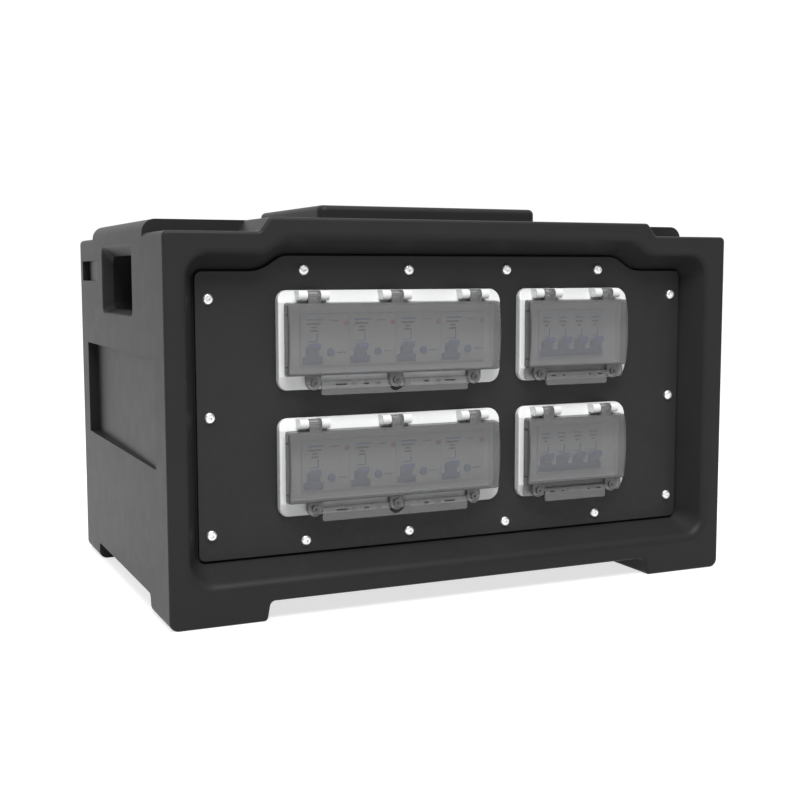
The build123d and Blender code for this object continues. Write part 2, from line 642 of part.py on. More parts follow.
with BuildPart() as rails:
    # Two top-hat rails, one behind each row of breakers
    for row_z in ROWS.values():
        with BuildSketch(Plane.YZ.offset(RAIL_X[0])):
            for z0, z1, y0, y1 in (
                (12.5, RAIL_HALF_H, 0, 1), (12.5, 13.5, 0, RAIL_D), (-13.5, 13.5, RAIL_D - 1, RAIL_D),
                (-13.5, -12.5, 0, RAIL_D), (-RAIL_HALF_H, -12.5, 0, 1),
            ):
                with Locations((RAIL_Y + (y0 + y1) / 2, row_z + (z0 + z1) / 2)):
                    Rectangle(y1 - y0, z1 - z0)
        extrude(amount=RAIL_X[1] - RAIL_X[0])
save(rails.part, "din_rails")

with BuildPart() as brackets:
    # Folded brackets carry both ends of each rail on the back of the breaker panel
    for row_z in ROWS.values():
        for side in (-1, 1):
            inner = side * (RAIL_X[1] - 12)
            rail_back = RAIL_Y + RAIL_D
            plan = [
                (inner, rail_back), (inner, rail_back + 2), (inner + side * 24, rail_back + 2),
                (inner + side * 24, PANEL_BACK + 2), (inner + side * 36, PANEL_BACK + 2),
                (inner + side * 36, PANEL_BACK), (inner + side * 22, PANEL_BACK),
                (inner + side * 22, rail_back),
            ]
            with BuildSketch(Plane.XY.offset(row_z - 12)):
                with BuildLine():
                    Polyline(*plan, close=True)
                make_face()
            extrude(amount=24)
save(brackets.part, "rail_brackets")


def terminal_bar(x0, x1, z):
    """A brass bar with a row of wire holes and clamping screw holes."""
    count = int((x1 - x0) // 12)
    pitch = (x1 - x0) / count
    with BuildPart() as bar:
        with BuildSketch(Plane.YZ.offset(x0)):
            with Locations((PANEL_BACK + 22, z)):
                Rectangle(9, 10)
        extrude(amount=x1 - x0)
        with BuildSketch(front(PANEL_BACK + 30)):
            with Locations(*[(x0 + pitch * (i + 0.5), z) for i in range(count)]):
                Circle(2.4)
        extrude(amount=20, mode=Mode.SUBTRACT)
    return bar.part


BAR_Z = (UPPER_Z + LOWER_Z) / 2
NEUTRAL_BAR_X = (-160.0, 20.0)
EARTH_BAR_X = (66.0, 174.0)
save(terminal_bar(*NEUTRAL_BAR_X, BAR_Z), "neutral_bar")
save(terminal_bar(*EARTH_BAR_X, BAR_Z), "earth_bar")

with BuildPart() as bar_posts:
    # Insulating posts between the breaker panel and the two terminal bars
    for x in (*NEUTRAL_BAR_X, *EARTH_BAR_X):
        inward = 6 if x in (NEUTRAL_BAR_X[0], EARTH_BAR_X[0]) else -6
        with BuildSketch(front(PANEL_BACK)):
            with Locations((x + inward, BAR_Z)):
                Rectangle(8, 10)
        extrude(amount=-17.5)
save(bar_posts.part, "bar_posts")

with BuildPart() as combs:
    # Copper comb busbars feed the breakers of each row from above
    for row_z in ROWS.values():
        comb_z = row_z + BODY_HALF_H + 1.5
        for x0, x1, pitch in ((RCBO_LEFT, RCBO_LEFT + RCBO_W * RCBO_COUNT, RCBO_W),
                              (mcb_left, mcb_left + MCB_W, POLE_W)):
            with BuildSketch(front(NOSE_Y + 40)):
                with Locations(((x0 + x1) / 2, comb_z)):
                    Rectangle(x1 - x0 - 4, 3)
            extrude(amount=12)
save(combs.part, "comb_busbars")


# ================================================================== socket panel
SMALL_X = (-195.0, -145.0, -95.0, -45.0)
SMALL_Z = (226.0, 128.0)
SMALL_POINTS = [(-x, z) for z in SMALL_Z for x in SMALL_X]    # as seen on a rear-facing plane
SMALL_BARREL_R = 13.0
FIVE_PIN_X = 45.0
FIVE_PIN_Z = (232.0, 122.0)
FIVE_PIN_FLANGE = 72.0
FIVE_PIN_R = 29.0
INLET_X = 160.0
INLET_Z = 177.0
INLET_FLANGE = 92.0
INLET_R = 38.0

with BuildPart() as rear_panel:
    extrude(stepped_outline(front(REAR_PANEL_FACE), 0), amount=PANEL_T)
    with BuildSketch(rear(REAR_PANEL_BACK)):
        with Locations(*SCREW_POINTS):
            Circle(SCREW_R + 0.3)
        with Locations(*SMALL_POINTS):
            Circle(SMALL_BARREL_R + 0.5)
        with Locations(*[(-FIVE_PIN_X, z) for z in FIVE_PIN_Z]):
            Circle(FIVE_PIN_R + 0.5)
        with Locations((-INLET_X, INLET_Z)):
            Circle(INLET_R + 0.5)
    extrude(amount=PANEL_T, mode=Mode.SUBTRACT)
save(rear_panel.part, "rear_panel")

with BuildPart() as small_outlets:
    # Eight round twist-lock outlets, one for each residual-current breaker
    with BuildSketch(rear(REAR_PANEL_FACE)):
        with Locations(*SMALL_POINTS):
            RectangleRounded(31, 38, 4)
    extrude(amount=3)
    with BuildSketch(rear(REAR_PANEL_FACE + 9)):
        with Locations(*SMALL_POINTS):
            Circle(SMALL_BARREL_R)
    extrude(amount=-37)
    with BuildSketch(rear(REAR_PANEL_FACE + 9)):
        with Locations(*SMALL_POINTS):
            Circle(SMALL_BARREL_R - 2)
    extrude(amount=-8, mode=Mode.SUBTRACT)
    with BuildSketch(rear(REAR_PANEL_FACE + 1)):
        with Locations(*SMALL_POINTS):
            with PolarLocations(6.5, 3, start_angle=90):
                SlotOverall(6, 2, rotation=90)
    extrude(amount=-14, mode=Mode.SUBTRACT)
    with BuildSketch(rear(REAR_PANEL_FACE + 3)):
        with Locations(*SMALL_POINTS):
            with GridLocations(23, 30, 2, 2):
                Circle(1.5)
    extrude(amount=-1.5, mode=Mode.SUBTRACT)
save(small_outlets.part, "single_phase_outlets")


def hooded_body(x, z, flange, radius, reach, wall, bottom, hinge_lift):
    """A flanged round socket body, open to the rear, with two lugs above for its lid's hinge."""
    with BuildPart() as body:
        with BuildSketch(rear(REAR_PANEL_FACE)):
            with Locations((-x, z)):
                RectangleRounded(flange, flange, 6)
        extrude(amount=4)
        with BuildSketch(rear(REAR_PANEL_FACE + reach)):
            with Locations((-x, z)):
                Circle(radius)
        extrude(amount=-reach - 32)
        for side in (-1, 1):
            x0 = x + side * 9 - 2.5
            lug = [
                (REAR_PANEL_FACE + 3, z + radius - 6), (REAR_PANEL_FACE + 3, z + hinge_lift - 2),
                (REAR_PANEL_FACE + reach - 4, z + hinge_lift + 3.5),
                (REAR_PANEL_FACE + reach + 3, z + hinge_lift + 3.5),
                (REAR_PANEL_FACE + reach + 3, z + hinge_lift - 3.5),
                (REAR_PANEL_FACE + reach - 1, z + hinge_lift - 3.5),
                (REAR_PANEL_FACE + reach - 1, z + radius - 6),
            ]
            with BuildSketch(Plane.YZ.offset(x0)):
                with BuildLine():
                    Polyline(*lug, close=True)
                make_face()
            extrude(amount=5)
        with BuildSketch(rear(REAR_PANEL_FACE + reach)):
            with Locations((-x, z)):
                Circle(radius - wall)
        extrude(amount=-(reach - bottom), mode=Mode.SUBTRACT)
        bore_along_x(x - 12, x + 12, REAR_PANEL_FACE + reach, z + hinge_lift, 1.5)
    return body.part


def hooded_lid(x, z, radius, reach, hinge_lift):
    """A round spring lid that closes a socket body, hinged above it."""
    face = REAR_PANEL_FACE + reach + CLEAR
    with BuildPart() as lid:
        with BuildSketch(rear(face)):
            with Locations((-x, z)):
                Circle(radius + 2)
        extrude(amount=5)
        fillet(lid.faces().sort_by(Axis.Y)[-1].edges(), radius=2)
        arm = [
            (face, z + radius - 4), (face + 5, z + radius - 4), (face + 5, z + hinge_lift - 3),
            (REAR_PANEL_FACE + reach + 3.2, z + hinge_lift + 1),
            (REAR_PANEL_FACE + reach, z + hinge_lift + 3.2),
            (REAR_PANEL_FACE + reach - 3.2, z + hinge_lift), (face, z + hinge_lift - 3.2),
        ]
        with BuildSketch(Plane.YZ.offset(x - 6.1)):
            with BuildLine():
                Polyline(*arm, close=True)
            make_face()
        extrude(amount=12.2)
        bore_along_x(x - 6.1, x + 6.1, REAR_PANEL_FACE + reach, z + hinge_lift, 1.56)
        with BuildSketch(rear(face)):
            with Locations((-x, z - radius)):
                RectangleRounded(16, 8, 2)
        extrude(amount=5)
    return lid.part


FIVE_PIN_REACH = 34.0
INLET_REACH = 44.0
FIVE_PIN_LIFT = FIVE_PIN_R + 7
INLET_LIFT = INLET_R + 7
FIVE_PIN_CIRCLE = 14.0
FIVE_PIN_CARRIER_R = 19.5
INLET_CIRCLE = 20.0

with BuildPart() as five_pin_outlets:
    # Two five-pin outlets, each a hooded body with a moulded carrier and five contact holes
    for z in FIVE_PIN_Z:
        add(hooded_body(FIVE_PIN_X, z, FIVE_PIN_FLANGE, FIVE_PIN_R, FIVE_PIN_REACH, 2.5, 4, FIVE_PIN_LIFT))
        with BuildSketch(rear(REAR_PANEL_FACE + 4)):
            with Locations((-FIVE_PIN_X, z)):
                Circle(FIVE_PIN_CARRIER_R)
                with PolarLocations(FIVE_PIN_CIRCLE, 5, start_angle=-90):
                    Circle(3.2, mode=Mode.SUBTRACT)
        extrude(amount=22)
save(five_pin_outlets.part, "five_pin_outlets")

save(hooded_body(INLET_X, INLET_Z, INLET_FLANGE, INLET_R, INLET_REACH, 3.5, 0, INLET_LIFT), "inlet_body")

with BuildPart() as inlet_pins:
    # Five brass pins stand in the inlet, with solder-free tails behind
    with BuildSketch(rear(REAR_PANEL_FACE)):
        with Locations((-INLET_X, INLET_Z)):
            with PolarLocations(INLET_CIRCLE, 5, start_angle=-90):
                Circle(4)
    extrude(amount=38)
    fillet(inlet_pins.faces().sort_by(Axis.Y)[-5:].edges(), radius=1.5)
save(inlet_pins.part, "inlet_pins")

for name, z in zip(("upper", "lower"), FIVE_PIN_Z):
    save(hooded_lid(FIVE_PIN_X, z, FIVE_PIN_R, FIVE_PIN_REACH, FIVE_PIN_LIFT), f"outlet_lid_{name}")
save(hooded_lid(INLET_X, INLET_Z, INLET_R, INLET_REACH, INLET_LIFT), "inlet_lid")

with BuildPart() as socket_pins:
    # Hinge pins of the three socket lids
    for x, z, reach in (
        *[(FIVE_PIN_X, z + FIVE_PIN_LIFT, FIVE_PIN_REACH) for z in FIVE_PIN_Z],
        (INLET_X, INLET_Z + INLET_LIFT, INLET_REACH),
    ):
        bar_along_x(x - 11.5, x + 11.5, REAR_PANEL_FACE + reach, z, 1.5)
save(socket_pins.part, "socket_hinge_pins")
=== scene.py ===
import json
import math
import bmesh
import bpy
from mathutils import Euler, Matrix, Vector


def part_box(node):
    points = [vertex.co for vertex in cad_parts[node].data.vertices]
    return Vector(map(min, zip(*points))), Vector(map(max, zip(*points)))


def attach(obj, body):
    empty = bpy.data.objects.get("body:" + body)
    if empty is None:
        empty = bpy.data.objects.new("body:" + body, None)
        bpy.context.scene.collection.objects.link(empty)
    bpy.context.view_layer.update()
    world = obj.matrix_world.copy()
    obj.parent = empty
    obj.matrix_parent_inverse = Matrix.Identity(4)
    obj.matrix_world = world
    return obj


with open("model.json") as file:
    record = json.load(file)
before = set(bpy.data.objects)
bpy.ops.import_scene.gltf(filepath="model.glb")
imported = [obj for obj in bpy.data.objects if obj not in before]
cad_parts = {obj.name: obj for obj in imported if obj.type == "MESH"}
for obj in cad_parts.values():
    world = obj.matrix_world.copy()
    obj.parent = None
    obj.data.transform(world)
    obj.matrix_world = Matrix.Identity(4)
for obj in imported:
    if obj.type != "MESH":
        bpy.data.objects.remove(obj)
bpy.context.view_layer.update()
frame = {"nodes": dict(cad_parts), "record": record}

MM = 0.001

# ------------------------------------------------------------------ camera
CAMERA_AT = (-0.5195, -1.1665, 0.2959)
CAMERA_YAW, CAMERA_PITCH, CAMERA_ROLL = 24.456, 5.878, -0.084   # degrees
CAMERA_LENS_MM, CAMERA_SENSOR_MM = 55.72, 36.0

yaw, pitch, roll = (math.radians(a) for a in (CAMERA_YAW, CAMERA_PITCH, CAMERA_ROLL))
looking = Vector((
    math.sin(yaw) * math.cos(pitch), math.cos(yaw) * math.cos(pitch), -math.sin(pitch),
))
camera_data = bpy.data.cameras.new("camera")
camera_data.lens = CAMERA_LENS_MM
camera_data.sensor_width = CAMERA_SENSOR_MM
camera = bpy.data.objects.new("camera", camera_data)
camera.rotation_mode = "QUATERNION"
camera.rotation_quaternion = (
    looking.to_track_quat("-Z", "Y") @ Euler((0, 0, roll)).to_quaternion()
)
camera.location = CAMERA_AT
bpy.context.scene.collection.objects.link(camera)
bpy.context.scene.camera = camera

# ------------------------------------------------------------------ studio
SOFTBOX_AT, SOFTBOX_TARGET = (-0.3, -1.35, 2.1), (0, 0, 0.18)
SOFTBOX_SIZE, SOFTBOX_WATTS = (1.6, 1.2), 63

softbox_data = bpy.data.lights.new("front_overhead", "AREA")
softbox_data.shape = "RECTANGLE"
softbox_data.size, softbox_data.size_y = SOFTBOX_SIZE
softbox_data.energy = SOFTBOX_WATTS
softbox = bpy.data.objects.new("front_overhead", softbox_data)
softbox.location = SOFTBOX_AT
softbox.rotation_mode = "QUATERNION"
softbox.rotation_quaternion = (
    (Vector(SOFTBOX_TARGET) - Vector(SOFTBOX_AT)).to_track_quat("-Z", "Y")
)
bpy.context.scene.collection.objects.link(softbox)

# A bright room that lights the box less from the front than from behind. What the camera sees
# of it is white on every side
BACK_LIGHT, FRONT_LIGHT = 1.03, 0.12
FADE_FRONT, FADE_BACK = -0.5, 0.3      # Y of the direction where the fade starts and ends
world = bpy.data.worlds.new("studio")
bpy.context.scene.world = world
world.use_nodes = True
sky = world.node_tree.nodes
links = world.node_tree.links
direction = sky.new("ShaderNodeTexCoord")
split = sky.new("ShaderNodeSeparateXYZ")
fade = sky.new("ShaderNodeMapRange")
fade.interpolation_type = "SMOOTHSTEP"
fade.inputs["From Min"].default_value = FADE_FRONT
fade.inputs["From Max"].default_value = FADE_BACK
fade.inputs["To Min"].default_value = FRONT_LIGHT
fade.inputs["To Max"].default_value = BACK_LIGHT
links.new(direction.outputs["Generated"], split.inputs[0])
links.new(split.outputs["Y"], fade.inputs["Value"])
seen = sky.new("ShaderNodeMath")
seen.operation = "MULTIPLY"
seen.inputs[1].default_value = BACK_LIGHT
strength = sky.new("ShaderNodeMath")
strength.operation = "MAXIMUM"
links.new(sky.new("ShaderNodeLightPath").outputs["Is Camera Ray"], seen.inputs[0])
links.new(seen.outputs[0], strength.inputs[0])
links.new(fade.outputs["Result"], strength.inputs[1])
links.new(strength.outputs[0], sky["Background"].inputs["Strength"])
sky["Background"].inputs["Color"].default_value = (1, 1, 1, 1)
bpy.context.scene.view_settings.view_transform = "Standard"

FLOOR_HALF = 30.0
floor_mesh = bpy.data.meshes.new("floor")
floor_mesh.from_pydata(
    [(x * FLOOR_HALF, y * FLOOR_HALF, 0) for x, y in ((-1, -1), (1, -1), (1, 1), (-1, 1))],
    [], [(0, 1, 2, 3)],
)
floor = bpy.data.objects.new("floor", floor_mesh)
bpy.context.scene.collection.objects.link(floor)

# ------------------------------------------------------------------ materials
NOISE_LOW, NOISE_HIGH = 0.3, 0.7      # most of a noise texture's values lie between these


class Surface:
    """A Principled material whose colour, gloss and relief come from noise in the part's space."""

    def __init__(self, name, color, roughness, metallic=0.0, **sockets):
        self.material = bpy.data.materials.new(name)
        self.material.use_nodes = True
        self.nodes = self.material.node_tree.nodes
        self.links = self.material.node_tree.links
        self.shader = self.nodes["Principled BSDF"]
        self.color = color
        self.shader.inputs["Base Color"].default_value = (*color, 1)
        self.shader.inputs["Roughness"].default_value = roughness
        self.shader.inputs["Metallic"].default_value = metallic
        for socket, value in sockets.items():
            self.shader.inputs[socket.replace("_", " ")].default_value = value
        self.place = self.nodes.new("ShaderNodeTexCoord").outputs["Object"]
        self.normal = None

    def noise(self, size_mm, detail, stretch=(1, 1, 1)):
        """Noise with features of about this size, drawn out along the axes of small stretch."""
        mapping = self.nodes.new("ShaderNodeMapping")
        mapping.inputs["Scale"].default_value = [s * 1000 / size_mm for s in stretch]
        texture = self.nodes.new("ShaderNodeTexNoise")
        texture.inputs["Scale"].default_value = 1.0
        texture.inputs["Detail"].default_value = detail
        self.links.new(self.place, mapping.inputs["Vector"])
        self.links.new(mapping.outputs["Vector"], texture.inputs["Vector"])
        return texture.outputs["Fac"]

    def vary_color(self, size_mm, share):
        """Mottles the base colour by this share either way."""
        ramp = self.nodes.new("ShaderNodeValToRGB")
        low, high = ramp.color_ramp.elements
        low.position, high.position = NOISE_LOW, NOISE_HIGH
        low.color = (*[c * (1 - share) for c in self.color], 1)
        high.color = (*[c * (1 + share) for c in self.color], 1)
        self.links.new(self.noise(size_mm, detail=3), ramp.inputs["Fac"])
        self.links.new(ramp.outputs["Color"], self.shader.inputs["Base Color"])
        return self

    def vary_roughness(self, size_mm, low, high, stretch=(1, 1, 1)):
        """Lets the roughness wander between two values."""
        span = self.nodes.new("ShaderNodeMapRange")
        span.inputs["From Min"].default_value = NOISE_LOW
        span.inputs["From Max"].default_value = NOISE_HIGH
        span.inputs["To Min"].default_value = low
        span.inputs["To Max"].default_value = high
        self.links.new(self.noise(size_mm, detail=4, stretch=stretch), span.inputs["Value"])
        self.links.new(span.outputs["Result"], self.shader.inputs["Roughness"])
        return self

    def relief(self, size_mm, depth_mm, strength=1.0, detail=2.0, stretch=(1, 1, 1)):
        """Adds a layer of bump on top of any earlier one."""
        bump = self.nodes.new("ShaderNodeBump")
        bump.inputs["Distance"].default_value = depth_mm / 1000
        bump.inputs["Strength"].default_value = strength
        self.links.new(self.noise(size_mm, detail, stretch), bump.inputs["Height"])
        if self.normal:
            self.links.new(self.normal, bump.inputs["Normal"])
        self.normal = bump.outputs["Normal"]
        self.links.new(self.normal, self.shader.inputs["Normal"])
        return self


def plastic(name, color, roughness, grain_mm=0.6, grain_depth_mm=0.01, mottle=0.05, **sockets):
    """Moulded plastic: faint clouding, uneven gloss, a slight swell and a fine grain."""
    made = Surface(name, color, roughness, **sockets)
    made.vary_color(size_mm=40, share=mottle)
    made.vary_roughness(size_mm=18, low=roughness * 0.96, high=roughness * 1.04)
    made.relief(size_mm=90, depth_mm=0.02, strength=0.4)
    return made.relief(grain_mm, grain_depth_mm).material


def metal(name, color, roughness, stretch=(1, 1, 0.04)):
    """Bare metal with fine scratches, drawn along the axis of small stretch."""
    made = Surface(name, color, roughness, metallic=1.0)
    made.vary_color(size_mm=6, share=0.06)
    made.vary_roughness(
        size_mm=0.5, low=roughness * 0.7, high=roughness * 1.4, stretch=stretch,
    )
    return made.relief(size_mm=0.25, depth_mm=0.003, stretch=stretch).material


def smoked(name, color, alpha, wall_alpha, wall_shade_share):
    """Smoked clear plastic. Its front has the colour and alpha. A wall that stands on edge to the
    front has wall_alpha and this share of the colour: painted shade that darkens the walls by the
    way they face."""
    wall_y, face_y = 0.3, 0.9      # Y of the normal: all wall below the first, all front above
    made = Surface(name, color, roughness=0.2, IOR=1.58)
    across = made.nodes.new("ShaderNodeSeparateXYZ")
    facing = made.nodes.new("ShaderNodeMath")
    facing.operation = "ABSOLUTE"
    shaded_wall_alpha = made.nodes.new("ShaderNodeMapRange")
    shaded_wall_alpha.inputs["From Min"].default_value = wall_y
    shaded_wall_alpha.inputs["From Max"].default_value = face_y
    shaded_wall_alpha.inputs["To Min"].default_value = wall_alpha
    shaded_wall_alpha.inputs["To Max"].default_value = alpha
    # Painted shade: the colour darkens and the alpha rises on walls that stand on edge to the front
    wall_shading = made.nodes.new("ShaderNodeValToRGB")
    wall, face = wall_shading.color_ramp.elements
    wall.position, face.position = wall_y, face_y
    wall.color = (*[c * wall_shade_share for c in color], 1)
    face.color = (*color, 1)
    normal = made.nodes.new("ShaderNodeTexCoord").outputs["Normal"]
    made.links.new(normal, across.inputs[0])
    made.links.new(across.outputs["Y"], facing.inputs[0])
    made.links.new(facing.outputs[0], shaded_wall_alpha.inputs["Value"])
    made.links.new(facing.outputs[0], wall_shading.inputs["Fac"])
    made.links.new(shaded_wall_alpha.outputs["Result"], made.shader.inputs["Alpha"])
    made.links.new(wall_shading.outputs["Color"], made.shader.inputs["Base Color"])
    made.vary_roughness(size_mm=18, low=0.18, high=0.24)
    made.relief(size_mm=60, depth_mm=0.02, strength=0.4)
    return made.relief(size_mm=1.2, depth_mm=0.003).material


# Scratches along Y and along X
ALONG_Y, ALONG_X = (1, 0.2, 1), (0.04, 1, 1)

# plastic: colour, roughness, size and depth of the grain in mm, mottle
# metal: colour, roughness, direction of the scratches
# smoked: colour, alpha, and the walls' alpha and share of the colour, which paint shade on the
# walls
MATERIALS = {
    "housing_plastic": plastic(
        "housing_plastic", (0.026, 0.026, 0.0264), 0.44, 0.9, 0.006, 0.04,
        Specular_IOR_Level=0.14,
    ),
    "panel_paint": (
        Surface("panel_paint", (0.017, 0.017, 0.0174), 0.5, Specular_IOR_Level=0.35)
        .vary_color(size_mm=30, share=0.06).vary_roughness(size_mm=4, low=0.44, high=0.58)
        .relief(size_mm=0.5, depth_mm=0.025, detail=1).material
    ),
    "seal_rubber": plastic("seal_rubber", (0.02, 0.02, 0.02), 0.85, 0.4, 0.05),
    "stainless": metal("stainless", (0.95, 0.95, 0.95), 0.42, ALONG_Y),
    "dark_steel": metal("dark_steel", (0.12, 0.12, 0.12), 0.4, ALONG_Y),
    "brass": metal("brass", (0.78, 0.58, 0.26), 0.3),
    "frame_white": plastic("frame_white", (0.84, 0.845, 0.85), 0.28, 0.7, 0.006, 0.02),
    "lid_smoke": smoked("lid_smoke", (0.214, 0.215, 0.219), 0.48, 0.8, 0.55),
    "breaker_white": plastic("breaker_white", (0.72, 0.72, 0.71), 0.45, 0.5, 0.012, 0.03),
    "toggle_blue": plastic("toggle_blue", (0.03, 0.13, 0.42), 0.35, 0.6, 0.006, 0.06),
    "zinc_steel": metal("zinc_steel", (0.62, 0.63, 0.65), 0.35, ALONG_X),
    "copper": metal("copper", (0.85, 0.42, 0.26), 0.3, ALONG_X),
    "insulator": plastic("insulator", (0.55, 0.55, 0.53), 0.5),
    "socket_red": plastic("socket_red", (0.42, 0.022, 0.016), 0.33, 0.8, 0.012, 0.06),
    "socket_black": plastic("socket_black", (0.018, 0.018, 0.02), 0.38, 0.8, 0.012, 0.1),
    "indicator_red": plastic("indicator_red", (0.6, 0.03, 0.02), 0.15, 2.0, 0.003),
    "print_dark": plastic("print_dark", (0.01, 0.01, 0.012), 0.55, 0.3, 0.002),
    "print_blue": plastic("print_blue", (0.05, 0.2, 0.5), 0.55, 0.3, 0.002),
}

# The floor is seen and mirrored as white, but throws less light back up at the box than that
FLOOR_GLOW = 0.72
floor_surface = Surface(
    "floor_pale", (0.5, 0.5, 0.5), 0.6, Emission_Color=(1, 1, 1, 1), Specular_IOR_Level=0.1,
)
ray = floor_surface.nodes.new("ShaderNodeLightPath")
looked_at = floor_surface.nodes.new("ShaderNodeMath")
looked_at.operation = "MAXIMUM"
glow = floor_surface.nodes.new("ShaderNodeMath")
glow.operation = "MULTIPLY"
glow.inputs[1].default_value = FLOOR_GLOW
floor_surface.links.new(ray.outputs["Is Camera Ray"], looked_at.inputs[0])
floor_surface.links.new(ray.outputs["Is Glossy Ray"], looked_at.inputs[1])
floor_surface.links.new(looked_at.outputs[0], glow.inputs[0])
floor_surface.links.new(glow.outputs[0], floor_surface.shader.inputs["Emission Strength"])
floor_surface.vary_color(size_mm=400, share=0.01)
floor_surface.relief(size_mm=3, depth_mm=0.05, strength=0.3)
floor_mesh.materials.append(floor_surface.material)

for part in frame["record"]["subparts"]:
    mesh = frame["nodes"][part["node"]].data
    mesh.materials.clear()
    mesh.materials.append(MATERIALS[part["material_slot"]])

# ------------------------------------------------------------------ small pieces
ROOT = "box"
# The record's slot for each finish that only small pieces have
SHARP_EDGE = math.radians(35)
BEVEL_SEGMENTS = 3
DOME_RINGS, DOME_SEGMENTS = 5, 28
STANDING = 0.12 * MM      # printed marks stand this far off the face they are on


def piece(name, body, finish, bm, bevel_mm=0.0):
    """Turns a bmesh into a piece that rides on a body, in one of the finishes above."""
    mesh = bpy.data.meshes.new(name)
    bmesh.ops.recalc_face_normals(bm, faces=bm.faces)
    bm.to_mesh(mesh)
    bm.free()
    mesh.polygons.foreach_set("use_smooth", [True] * len(mesh.polygons))
    mesh.set_sharp_from_angle(angle=SHARP_EDGE)
    made = bpy.data.objects.new(name, mesh)
    bpy.context.scene.collection.objects.link(made)
    if bevel_mm:
        bevel = made.modifiers.new("bevel", "BEVEL")
        bevel.width = bevel_mm / 1000
        bevel.segments = BEVEL_SEGMENTS
    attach(made, body)
    mesh.materials.append(MATERIALS[finish])


def add_block(bm, low, high):
    """A box from its lowest to its highest corner, in metres."""
    low, high = Vector(low), Vector(high)
    made = bmesh.ops.create_cube(bm, size=1.0)["verts"]
    bmesh.ops.scale(bm, verts=made, vec=high - low)
    bmesh.ops.translate(bm, verts=made, vec=(low + high) / 2)


def add_dome(bm, centre, radius, height, facing=-1):
    """A shallow lens on a face whose normal is along Y, to the front unless facing is 1."""
    cx, cy, cz = centre
    loops = []
    for ring in range(DOME_RINGS):
        turn = math.pi / 2 * ring / DOME_RINGS
        y = cy + facing * height * math.sin(turn)
        loop = []
        for k in range(DOME_SEGMENTS):
            around = 2 * math.pi * k / DOME_SEGMENTS
            reach = radius * math.cos(turn)
            loop.append(bm.verts.new((
                cx + reach * math.cos(around), y, cz + reach * math.sin(around),
            )))
        loops.append(loop)
    top = bm.verts.new((cx, cy + facing * height, cz))
    for lower, upper in zip(loops, loops[1:]):
        for k in range(DOME_SEGMENTS):
            bm.faces.new((lower[k], lower[k - 1], upper[k - 1], upper[k]))
    for k in range(DOME_SEGMENTS):
        bm.faces.new((loops[-1][k], loops[-1][k - 1], top))
    bm.faces.new(loops[0])


def add_mark(bm, x, z, width, height, face_y):
    """A thin printed bar on a face that looks to -Y, centred at x and z."""
    add_block(
        bm, (x - width / 2, face_y - STANDING, z - height / 2),
        (x + width / 2, face_y - STANDING / 4, z + height / 2),
    )


def add_marks(meshes, marks, x, z, face_y):
    """A table of printed bars, placed from x and z, each into the mesh of its finish."""
    for finish, right, up, width, height in marks:
        add_mark(meshes[finish], x + right * MM, z + up * MM, width * MM, height * MM, face_y)


def add_stud(bm, x, z, face_y, half_width, stands, below, above):
    """A block on a face that looks to -Y, from below z to above z. Its sizes are in millimetres."""
    add_block(
        bm, (x - half_width * MM, face_y - stands * MM, z - below * MM),
        (x + half_width * MM, face_y, z + above * MM),
    )


# Printed bars and a switch sign on every breaker: finish, place to the right and up, width and
# height, in millimetres. The place is taken from the left edge of a residual-current breaker or
# the middle of a pole, and from the middle of the breaker's height
RCBO_COUNT, RCBO_PITCH = 4, 45 * MM
RCBO_MARKS = (
    ("print_blue", 13, 17.5, 15, 1.6),
    ("print_dark", 12, 14, 13, 1.5), ("print_dark", 12, 10.8, 5, 1.5),
    ("print_dark", 12, 7.8, 7, 1.5), ("print_dark", 15, 2.5, 0.9, 7),
    ("print_dark", 11, -1.5, 8, 0.6), ("print_dark", 37.5, -11.3, 8, 0.8),
    ("print_dark", 31, 16.5, 9, 0.6),
)
POLE_COUNT, POLE_PITCH = 4, 18 * MM
POLE_MARKS = (
    ("print_blue", -1, 15.5, 9, 1.5),
    ("print_dark", -1, 11.8, 8, 1.5), ("print_dark", -1, 8.2, 4, 1.5),
    ("print_dark", 2, 1, 0.9, 8), ("print_dark", -1, -2.5, 7, 0.6),
)
# A round red flag at the top right of each residual-current breaker
FLAG_RIGHT, FLAG_UP = 42.4 * MM, 14.5 * MM
FLAG_R, FLAG_H = 2.4 * MM, 0.6 * MM

for row in ("upper", "lower"):
    prints = {"print_dark": bmesh.new(), "print_blue": bmesh.new()}
    flags = bmesh.new()
    low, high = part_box(f"rcbo_bodies_{row}")
    row_z = (low.z + high.z) / 2
    for number in range(RCBO_COUNT):
        left = low.x + RCBO_PITCH * number
        add_marks(prints, RCBO_MARKS, left, row_z, low.y)
        add_dome(flags, (left + FLAG_RIGHT, low.y, row_z + FLAG_UP), FLAG_R, FLAG_H)
    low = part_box(f"mcb_body_{row}")[0]
    for pole in range(POLE_COUNT):
        add_marks(prints, POLE_MARKS, low.x + POLE_PITCH * (pole + 0.5), row_z, low.y)
    piece(f"breaker_marks_dark_{row}", ROOT, "print_dark", prints["print_dark"])
    piece(f"breaker_marks_blue_{row}", ROOT, "print_blue", prints["print_blue"])
    piece(f"breaker_flags_{row}", ROOT, "indicator_red", flags)

# Two short ribs on each side wall of a lid
LID_RIB_HEIGHTS = (0.24, 0.76)        # share of the height of the window's frame
LID_RIB_FRONT, LID_RIB_BACK = 8 * MM, 1.5 * MM      # in front of the lid's back edge
LID_RIB_HALF_X, LID_RIB_HALF_Z = 0.3 * MM, 0.5 * MM
LID_RIB_BEVEL_MM = 0.15
# Slots, lugs and a tab along the top of a latch flap; the slots are only dark bars of painted
# shade. Their places, to the right of its middle, and the lengths of the slots are shares of its
# width
LATCH_LINE = 3.4 * MM                 # below the top of the flap
LATCH_SLOT_SHADES = ((-0.36, 0.07), (-0.2, 0.03), (0.2, 0.03), (0.36, 0.07))      # place, length
LATCH_SLOT_SHADE_HEIGHT = 1.3 * MM
LATCH_LUGS, LATCH_TAB = (-0.28, -0.12, 0.28), 0.07
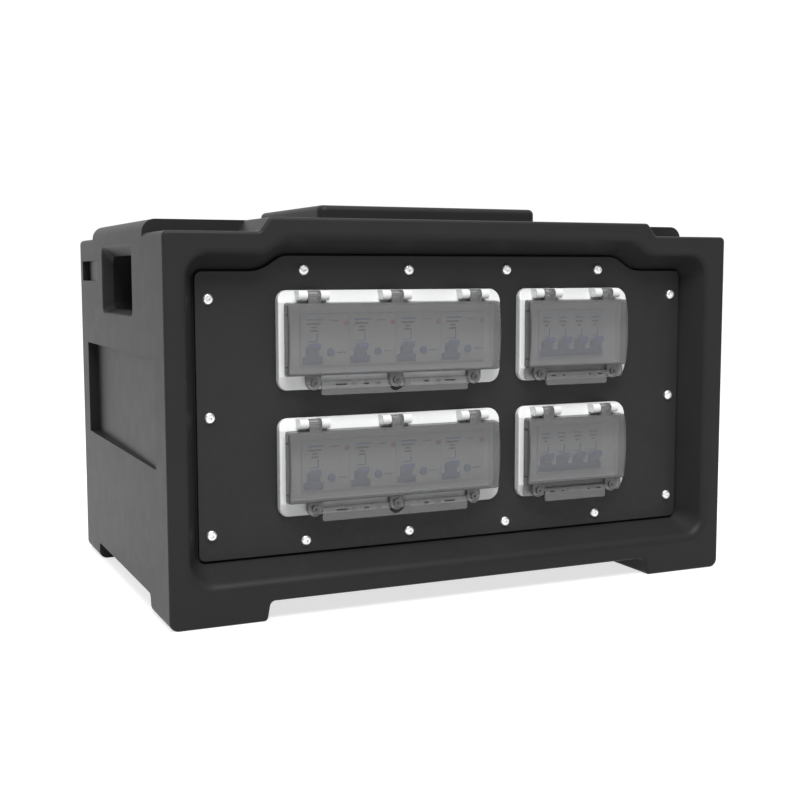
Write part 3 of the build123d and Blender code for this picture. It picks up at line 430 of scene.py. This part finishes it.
# In millimetres
LUG_SIZES = {"half_width": 2.2, "stands": 0.6, "below": 1, "above": 1}
TAB_SIZES = {"half_width": 3, "stands": 0.4, "below": 2.2, "above": 0.8}
LUG_BEVEL_MM, TAB_BEVEL_MM = 0.3, 0.2

for row in ("upper", "lower"):
    for kind in ("wide", "narrow"):
        name = f"{row}_{kind}"
        frame_low, frame_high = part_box(f"window_frame_{name}")
        lid_low, lid_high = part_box(f"window_lid_{name}")
        ribs = bmesh.new()
        for share in LID_RIB_HEIGHTS:
            z = frame_low.z + (frame_high.z - frame_low.z) * share
            for x in (lid_low.x, lid_high.x):
                add_block(
                    ribs, (x - LID_RIB_HALF_X, lid_high.y - LID_RIB_FRONT, z - LID_RIB_HALF_Z),
                    (x + LID_RIB_HALF_X, lid_high.y - LID_RIB_BACK, z + LID_RIB_HALF_Z),
                )
        piece(f"lid_ribs_{name}", f"lid_{name}", "print_dark", ribs, LID_RIB_BEVEL_MM)

        low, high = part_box(f"window_latch_{name}")
        width, middle, line = high.x - low.x, (low.x + high.x) / 2, high.z - LATCH_LINE
        slot_shades, lugs, tab = bmesh.new(), bmesh.new(), bmesh.new()
        # Painted shade: a dark bar stands where each slot would be
        for share, length in LATCH_SLOT_SHADES:
            add_mark(
                slot_shades, middle + width * share, line, width * length, LATCH_SLOT_SHADE_HEIGHT, low.y,
            )
        for share in LATCH_LUGS:
            add_stud(lugs, middle + width * share, line, low.y, **LUG_SIZES)
        add_stud(tab, middle + width * LATCH_TAB, line, low.y, **TAB_SIZES)
        piece(f"latch_slot_shades_{name}", f"latch_{name}", "print_dark", slot_shades)
        piece(f"latch_lugs_{name}", f"latch_{name}", "lid_smoke", lugs, LUG_BEVEL_MM)
        piece(f"latch_tab_{name}", f"latch_{name}", "lid_smoke", tab, TAB_BEVEL_MM)

# Raised-head screws at the corners of the rear connectors' flanges, with a dark bar of painted
# shade where each drive slot would be
FLANGE_T = 4 * MM
FLANGES = ((45, 232, 30), (45, 122, 30), (160, 177, 40))   # centre x and z, half spacing, in mm
SCREW_HEAD_R, SCREW_HEAD_H = 2.9 * MM, 1.3 * MM
# Corners of the dark block that paints the shade of the drive slot, from the middle of the screw on
# the flange
DRIVE_SHADE_LOW, DRIVE_SHADE_HIGH = Vector((-1.9, 0.9, -0.3)) * MM, Vector((1.9, 1.5, 0.3)) * MM
flange_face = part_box("rear_panel")[1].y + FLANGE_T
heads, drive_shades = bmesh.new(), bmesh.new()
for centre_x, centre_z, spread in FLANGES:
    for x in (centre_x - spread, centre_x + spread):
        for z in (centre_z - spread, centre_z + spread):
            at = Vector((x * MM, flange_face, z * MM))
            add_dome(heads, at, SCREW_HEAD_R, SCREW_HEAD_H, facing=1)
            add_block(drive_shades, at + DRIVE_SHADE_LOW, at + DRIVE_SHADE_HIGH)
piece("flange_screws", ROOT, "stainless", heads)
# Painted shade: the drive slots are dark blocks on the heads, not cut into them
piece("flange_screw_drive_shades", ROOT, "print_dark", drive_shades)
